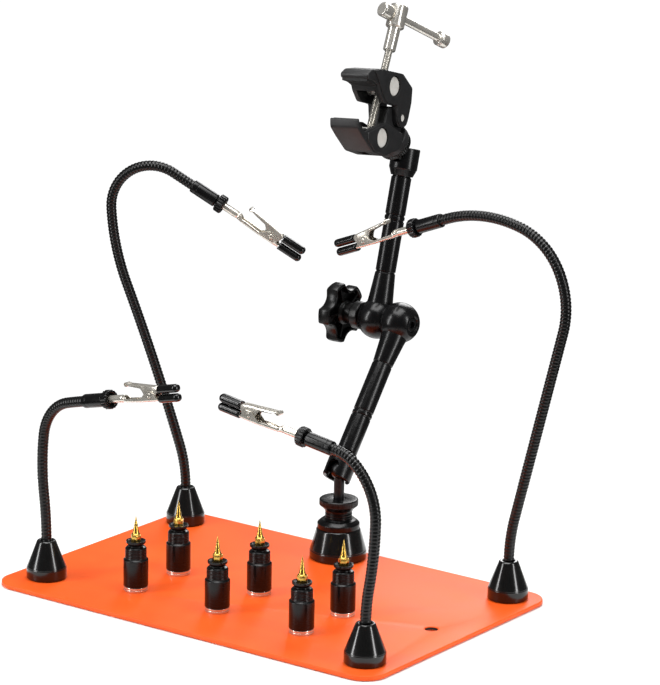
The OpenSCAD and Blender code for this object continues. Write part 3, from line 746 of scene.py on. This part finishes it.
def make_tube(name, where, body, node):
    """Arm tube with turned grooves, flared into the elbow."""
    r, g = 6.8, 0.55
    line = [(0, 12.5), (6.1, 12.5), (6.1, 13.2), (r, 13.6)]
    for z in (39.0, 42.5, 77.5):
        line += [(r, z - 0.7), (r - g, z - 0.45), (r - g, z + 0.45), (r, z + 0.7)]
    line += [(8.35, 96), (8.75, 98.5), (8.75, 103), (0, 103)]
    set_down(turn_part(name, line, 0.2, 96), where, body, "black_anodised_aluminium", "arm_anodised", node)


def make_elbow(name, x_flat, x_face, where, body, node, recess):
    """A turned ball with a flat outer side; Z of its frame runs outward."""
    r = 13.6
    inner, outer = math.asin(x_face / r), math.asin(x_flat / r)
    line = [(0, x_face), (r * math.cos(inner) - 0.3, x_face)]
    line += [(r * math.cos(a), r * math.sin(a))
             for a in (inner + (outer - inner) * j / 30 for j in range(31))]
    line += [(recess + 0.9, x_flat), (recess + 0.6, x_flat - 0.4), (recess + 0.3, x_flat - 0.4),
             (recess, x_flat - 0.8), (recess, x_flat - 4), (0, x_flat - 4)]
    set_down(turn_part(name, line, 0.12, 96), where, body, "black_anodised_aluminium", "arm_anodised", node)


def make_elbow_joint():
    out, back = across(shift(*ELBOW), 0, 0), shift(*UPPER_ELBOW) @ lean(-90, "Y")
    make_elbow("lower_elbow_ball", 11.2, -8.95, out, "lower_arm", "lower_elbow", 5.0)
    make_elbow("upper_elbow_ball", 11.2, -8.95, back, "upper_arm", "upper_elbow", 3.4)
    head = turn_part("head", [(0, 6), (4.85, 6), (4.85, 10.0), (4.4, 10.5), (3.6, 10.5), (0, 10.5)], 0.15, 64)
    six = [(2.85 * math.cos(math.radians(60 * i)), 2.85 * math.sin(math.radians(60 * i))) for i in range(6)]
    key = loft("key", [[(a, b, z) for a, b in six] for z in (7.6, 12)])
    head = break_edges(cut(head, key), 0.12, 1)
    shaft = turn_part("shaft", [(0, -38.5), (2.9, -38.5), (2.9, 6), (0, 6)], 0.2, 48)
    bolt = smooth(join("elbow_bolt_head", head, shaft))
    set_down(bolt, out, "lower_arm", "black_oxide_steel", "stud_black_steel", "elbow_bolt")


def soft_min(a, b, blend):
    near = max(blend - abs(a - b), 0) / blend
    return min(a, b) - near * near * blend / 4


def star_radius(angle, rim, scallop, depth, lobes):
    """Outline of a lobed knob: a disc with round scallops, its corners eased."""
    pitch = 2 * math.pi / lobes
    away = (angle + pitch / 2) % pitch - pitch / 2
    centre = rim + scallop - depth
    reach = scallop ** 2 - (centre * math.sin(away)) ** 2
    hollow = centre * math.cos(away) - math.sqrt(reach) if reach > 0 else rim + 3
    return soft_min(rim, hollow, 2.2)


def make_knob():
    """Lobed clamping knob, hollow on the side of its hub."""
    face, thick = 43.8, 9.5
    # [depth below the hub side's face, how far the outline draws in]
    rim = [(3.6, 3.2), (3.4, 2.9), (0.5, 2.3), (0.1, 2.0), (0.0, 1.6), (0.0, 1.2), (0.35, 0.4), (1.2, 0.0),
           (thick / 2, -0.1), (thick - 2.0, 0.0), (thick - 0.8, 0.6), (thick - 0.15, 1.7), (thick, 3.0),
           (thick - 0.3, 6.0)]
    rings = []
    for depth, draw_in in rim:
        ring = []
        for i in range(180):
            a = 2 * math.pi * i / 180
            r = star_radius(a - math.radians(18), 20.5, 9.6, 5.0, 5) - draw_in
            ring.append((r * math.cos(a), r * math.sin(a), face + depth))
        rings.append(ring)
    star = loft("star", rings, crease=40)
    hub = turn_part("hub", [(3.2, 29.4), (8.7, 29.4), (9.3, 30.0), (9.3, 35.3), (8.8, 35.9), (7.3, 36.0),
                            (7.0, 36.5), (7.0, 42.6), (8.4, 44.2), (8.4, 47.6), (3.2, 47.6)], 0.4, 72)
    ribs = []
    for i in range(5):
        rib = loft("rib", [[(x, y, z) for x, y in ((8, -0.8), (17, -0.6), (17, 0.6), (8, 0.8))]
                           for z in (face + 0.6, face + 3.8)])
        ribs.append(moved(rib, lean(72 * i + 54, "Z")))
    cap = turn_part("cap", [(0, face + 7), (6.6, face + 7), (6.4, face + thick - 0.2), (0, face + thick)],
                    0.5, 64)
    knob = smooth(join("star_knob", star, hub, cap, *ribs), 40)
    set_down(knob, shift(*ELBOW) @ lean(-90, "Y"), "knob", "moulded_black_nylon", "knob_plastic",
             "elbow_knob")


def make_arms():
    make_socket("lower_socket_cup", LOWER_ARM, "lower_arm", "lower_socket")
    make_socket("upper_socket_cup", UPPER_ARM, "upper_arm", "upper_socket")
    make_tube("lower_arm_tube", LOWER_ARM, "lower_arm", "lower_tube")
    make_tube("upper_arm_tube", UPPER_ARM, "upper_arm", "upper_tube")
    make_elbow_joint()
    make_knob()


# ------------------------------------------------------------------ clamp

LOWER_JAW = [(-73, 36.8), (-73.3, 31), (-67.3, 24), (-56.8, 13), (-41.7, 7.7), (-20.8, 9.5), (-18.8, 19),
             (-40.9, 29.9), (-64.9, 27.5), (-69.5, 31.8), (-71, 36.8)]
LOWER_POCKET = [(-60, 42), (-57.5, 24), (-52, 13.2), (-37, 13.2), (-34.6, 16), (-34.6, 42)]
LOWER_BLOCK = [(-36, 10), (-34.8, 26), (-31, 33.5), (-28.5, 38), (-15, 36.5), (-11.5, 30), (-13, 20),
               (-18, 11)]
LOWER_CHEEK = [(-61.5, 26.6), (-38.6, 29.4), (-19.4, 19.2), (-21.6, 10.2), (-41.6, 8.2), (-54.5, 13.2),
               (-62.5, 22)]
UPPER_JAW = [(-58.7, 64.4), (-53.3, 66.6), (-42.1, 65.6), (-16.2, 59), (-5.3, 48), (-7.4, 38.3), (-12.2, 28),
             (-14.6, 24.4), (-18.8, 22.95), (-23.2, 24.6), (-25.4, 28.5), (-25.4, 38.6), (-32.4, 40.8),
             (-40.7, 43.1), (-45.8, 51.4), (-46.9, 56.1), (-52.3, 59.5), (-58.5, 61.2)]
UPPER_POCKET = [(-45.6, 20), (-45.6, 52), (-43.5, 57.5), (-36, 59.6), (-20, 58.6), (-11.5, 49), (-12.5, 38.5),
                (0, 36), (0, 20)]
UPPER_CHEEK = [(-50.8, 65.6), (-42.1, 65.3), (-16.5, 58.7), (-5.7, 47.8), (-7.7, 38.3), (-12.4, 28.2),
               (-14.8, 24.7), (-18.8, 23.25), (-23.0, 24.9), (-25.1, 28.6), (-25.1, 38.9), (-32.3, 41.1),
               (-38.4, 43.6), (-43.6, 51.8), (-46.6, 58.6)]


def make_jaws():
    paint_name, slot = "painted_die_casting", "jaw_black_paint"

    shell = cast_block("shell", LOWER_JAW, -10.8, 10.8, 1.6)
    shell = cut(break_edges(shell, 1.1, 4), cast_block("pocket", LOWER_POCKET, -7.2, 7.2))
    parts = [shell]
    for side in (-1, 1):
        cheek = cast_block("cheek", LOWER_CHEEK, *sorted((side * 7.3, side * 11.5)), 1.2)
        parts.append(break_edges(cheek, 0.6, 3))
    parts.append(break_edges(cast_block("block", LOWER_BLOCK, -7, 7, 1.0), 0.5, 2))
    boss = turn_part("boss", [(0, 19), (11.6, 19), (12, 19.4), (12, 25), (0, 25)], 0.3, 96)
    parts.append(moved(boss, CLAMP.inverted() @ STUD))
    nut_hole = [moved(peg(6.9, -20, 20, 64), across(Matrix(), *LOWER_NUT))]
    slot_hole = moved(cast_block("slot", [(-5, -SCREW_SPAN - 25), (5, -SCREW_SPAN - 25), (5, -SCREW_SPAN),
                                          (-5, -SCREW_SPAN)], -3.4, 3.4), CLAMP.inverted() @ SCREW)
    pin_hole = moved(peg(2.5, -20, 20, 48), across(Matrix(), *HINGE))
    jaw = []
    for part in parts:
        tools = [copy_of(t) for t in nut_hole + [slot_hole, pin_hole]]
        jaw.append(cut(part, *tools))
    for t in nut_hole + [slot_hole, pin_hole]:
        bpy.data.objects.remove(t)
    lower = smooth(join("crab_lower_jaw", *jaw))
    set_down(lower, CLAMP, "clamp_base", paint_name, slot, "clamp_lower_jaw")

    shell = cast_block("shell", UPPER_JAW, -10.8, 10.8, 1.4)
    parts = [break_edges(shell, 1.0, 4)]
    for side in (-1, 1):
        cheek = cast_block("cheek", UPPER_CHEEK, *sorted((side * 7.3, side * 11.5)), 1.2)
        parts.append(break_edges(cheek, 0.6, 3))
    jaw = []
    for i, part in enumerate(parts):
        tools = [moved(peg(6.9, -20, 20, 64), across(Matrix(), *UPPER_NUT)),
                 moved(peg(2.7, -20, 20, 48), across(Matrix(), *HINGE)),
                 moved(cast_block("slot", [(-4.8, 0), (4.8, 0), (4.8, 30), (-4.8, 30)], -3.4, 3.4),
                       CLAMP.inverted() @ SCREW)]
        if i == 0:
            tools.append(cast_block("pocket", UPPER_POCKET, -7.2, 7.2))
        jaw.append(cut(part, *tools))
    upper = smooth(join("crab_upper_jaw", *jaw))
    set_down(upper, CLAMP, "clamp_jaw", paint_name, slot, "clamp_upper_jaw")


def copy_of(piece):
    twin = piece.copy()
    twin.data = piece.data.copy()
    bpy.context.scene.collection.objects.link(twin)
    bpy.context.view_layer.update()
    return twin


def make_pad(name, line, half_w, body):
    """A ribbed rubber strip along a lip; the line runs along its face."""
    face = ease(line, 2.0)
    path = [Vector(p) for p in face]
    total, marks = 0.0, [0.0]
    for a, b in zip(path, path[1:]):
        total += (b - a).length
        marks.append(total)
    stations, s = [], 0.0
    while s <= total:
        i = max(j for j, m in enumerate(marks) if m <= s + 1e-9)
        i = min(i, len(path) - 2)
        span = (path[i + 1] - path[i])
        stations.append((path[i] + span * ((s - marks[i]) / span.length), span.normalized(), s))
        s += 0.3
    sections = []
    for p, way, s in stations:
        out = Vector((-way.y, way.x))
        rib = 1.1 + 0.45 * abs(math.sin(math.pi * s / 1.8)) ** 0.6
        top, low = p + out * rib, p - out * 0.6
        sections.append([(-half_w, *low), (half_w, *low), (half_w, *(p + out * (rib - 0.35))),
                         (half_w - 0.4, *top), (0.4 - half_w, *top), (-half_w, *(p + out * (rib - 0.35)))])
    set_down(loft(name, sections, crease=40), CLAMP, body, "moulded_rubber", "jaw_black_paint")


def make_clamp():
    make_jaws()
    make_pad("lower_jaw_pad", [(-61.5, 27.9), (-65.0, 27.9), (-69.3, 32.2), (-70.8, 36.4)][::-1], 9.6,
             "clamp_base")
    make_pad("upper_jaw_pad", [(-58.2, 61.0), (-52.4, 59.2), (-47.0, 55.9)][::-1], 9.6, "clamp_jaw")
    for name, at, body, node in (("lower_nut_face", LOWER_NUT, "lower_nut", "lower_barrel_nut"),
                                 ("upper_nut_face", UPPER_NUT, "upper_nut", "upper_barrel_nut")):
        line = [(0, -10.6), (5.9, -10.6), (6.4, -10.2), (6.4, 10.2), (5.9, 10.6), (0, 10.6)]
        nut = turn_part(name, line, 0.15, 96)
        bore = moved(peg(2.95, -60, 30, 48), across(CLAMP, *at).inverted() @ SCREW)
        nut = cut(nut, bore)
        set_down(smooth(nut), across(CLAMP, *at), body, "faced_steel", "nut_steel", node)
    pin = turn_part("crab_hinge_pin", [(0, -11), (2.1, -11), (2.45, -10.6), (2.45, 10.6), (2.1, 11), (0, 11)],
                    0.15, 48)
    set_down(pin, across(CLAMP, *HINGE), "clamp_base", "faced_steel", "nut_steel", "clamp_hinge_pin")
    line = [(3.1, 13.5), (7.8, 13.5), (11, 14.6), (11.5, 15.2), (11.5, 17.9), (11, 18.5), (3.1, 18.5)]
    wheel = turn_part("clamp_wheel", line, 0.25, 240, (48, 0.35, 11.2, 0.0), closed=True)
    set_down(wheel, STUD, "upper_wheel", "black_anodised_aluminium", "arm_anodised", "upper_lock_wheel")

    rod = cut_thread("rod", 2.6, 0.9, -SCREW_SPAN - 9.9, 27)
    sleeve = turn_part("sleeve", [(0, 24.5), (3.7, 24.5), (4.2, 25.1), (4.2, 40.4), (5.7, 40.9), (6.2, 41.4),
                                  (6.2, 55.6), (5.4, 56.4), (1.8, 56.4), (1.5, 56.0), (0, 56.0)], 0.25, 96)
    sleeve = cut(sleeve, moved(peg(2.8, -20, 20, 48), BAR),
                 moved(peg(1.0, 3.4, 8, 32), shift(0, 0, 33.5) @ lean(55, "Z") @ lean(90, "Y")))
    sleeve = break_edges(sleeve, 0.15, 2)
    screw = smooth(join("clamp_screw_rod", rod, sleeve))
    set_down(screw, SCREW, "screw", "nickel_plated_turning", "screw_nickel", "clamp_screw")

    line = [(0, -14.5), (4.1, -14.5), (5, -13.7), (5, -7.3), (4.2, -6.5), (2.7, -6.5), (2.7, 38.5),
            (4.1, 38.5), (5, 39.3), (5, 39.9), (4.6, 40.2), (5, 40.5), (5, 45.7), (4.1, 46.5), (0, 46.5)]
    bar = turn_part("t_bar", line, 0.3, 72)
    set_down(bar, SCREW @ BAR, "bar", "nickel_plated_turning", "screw_nickel", "handle_bar")


def cut_thread(name, r, pitch, low, high, sides=32):
    """A threaded rod along Z."""
    step = pitch / 6
    count = int((high - low) / step)
    sections = []
    for i in range(count + 1):
        z = low + i * step
        ring = []
        for j in range(sides):
            phase = (z / pitch - j / sides) % 1.0
            depth = 0.42 * abs(2 * phase - 1)
            fade = min(1.0, 0.5 + min(z - low, high - z) / 1.0)
            a = 2 * math.pi * j / sides
            ring.append(((r - depth) * fade * math.cos(a), (r - depth) * fade * math.sin(a), z))
        sections.append(ring)
    return loft(name, sections, crease=80)


# ------------------------------------------------------------------ making it all

set_camera()
set_studio()
mix_finishes()
floor = make_piece("floor", [(FLOOR_R * math.cos(a), FLOOR_R * math.sin(a), FLOOR_Z)
                             for a in (2 * math.pi * i / 96 for i in range(96))], [tuple(range(96))])
floor.data.materials.append(FINISH["pale_floor_paint"])

make_plate()
make_posts()
for number, arm in enumerate(ARMS, 1):
    make_foot(number, arm)
    make_hose(number, arm)
    make_collar(number, arm)
    make_clip(number, arm)
make_stand()
make_arms()
make_clamp()
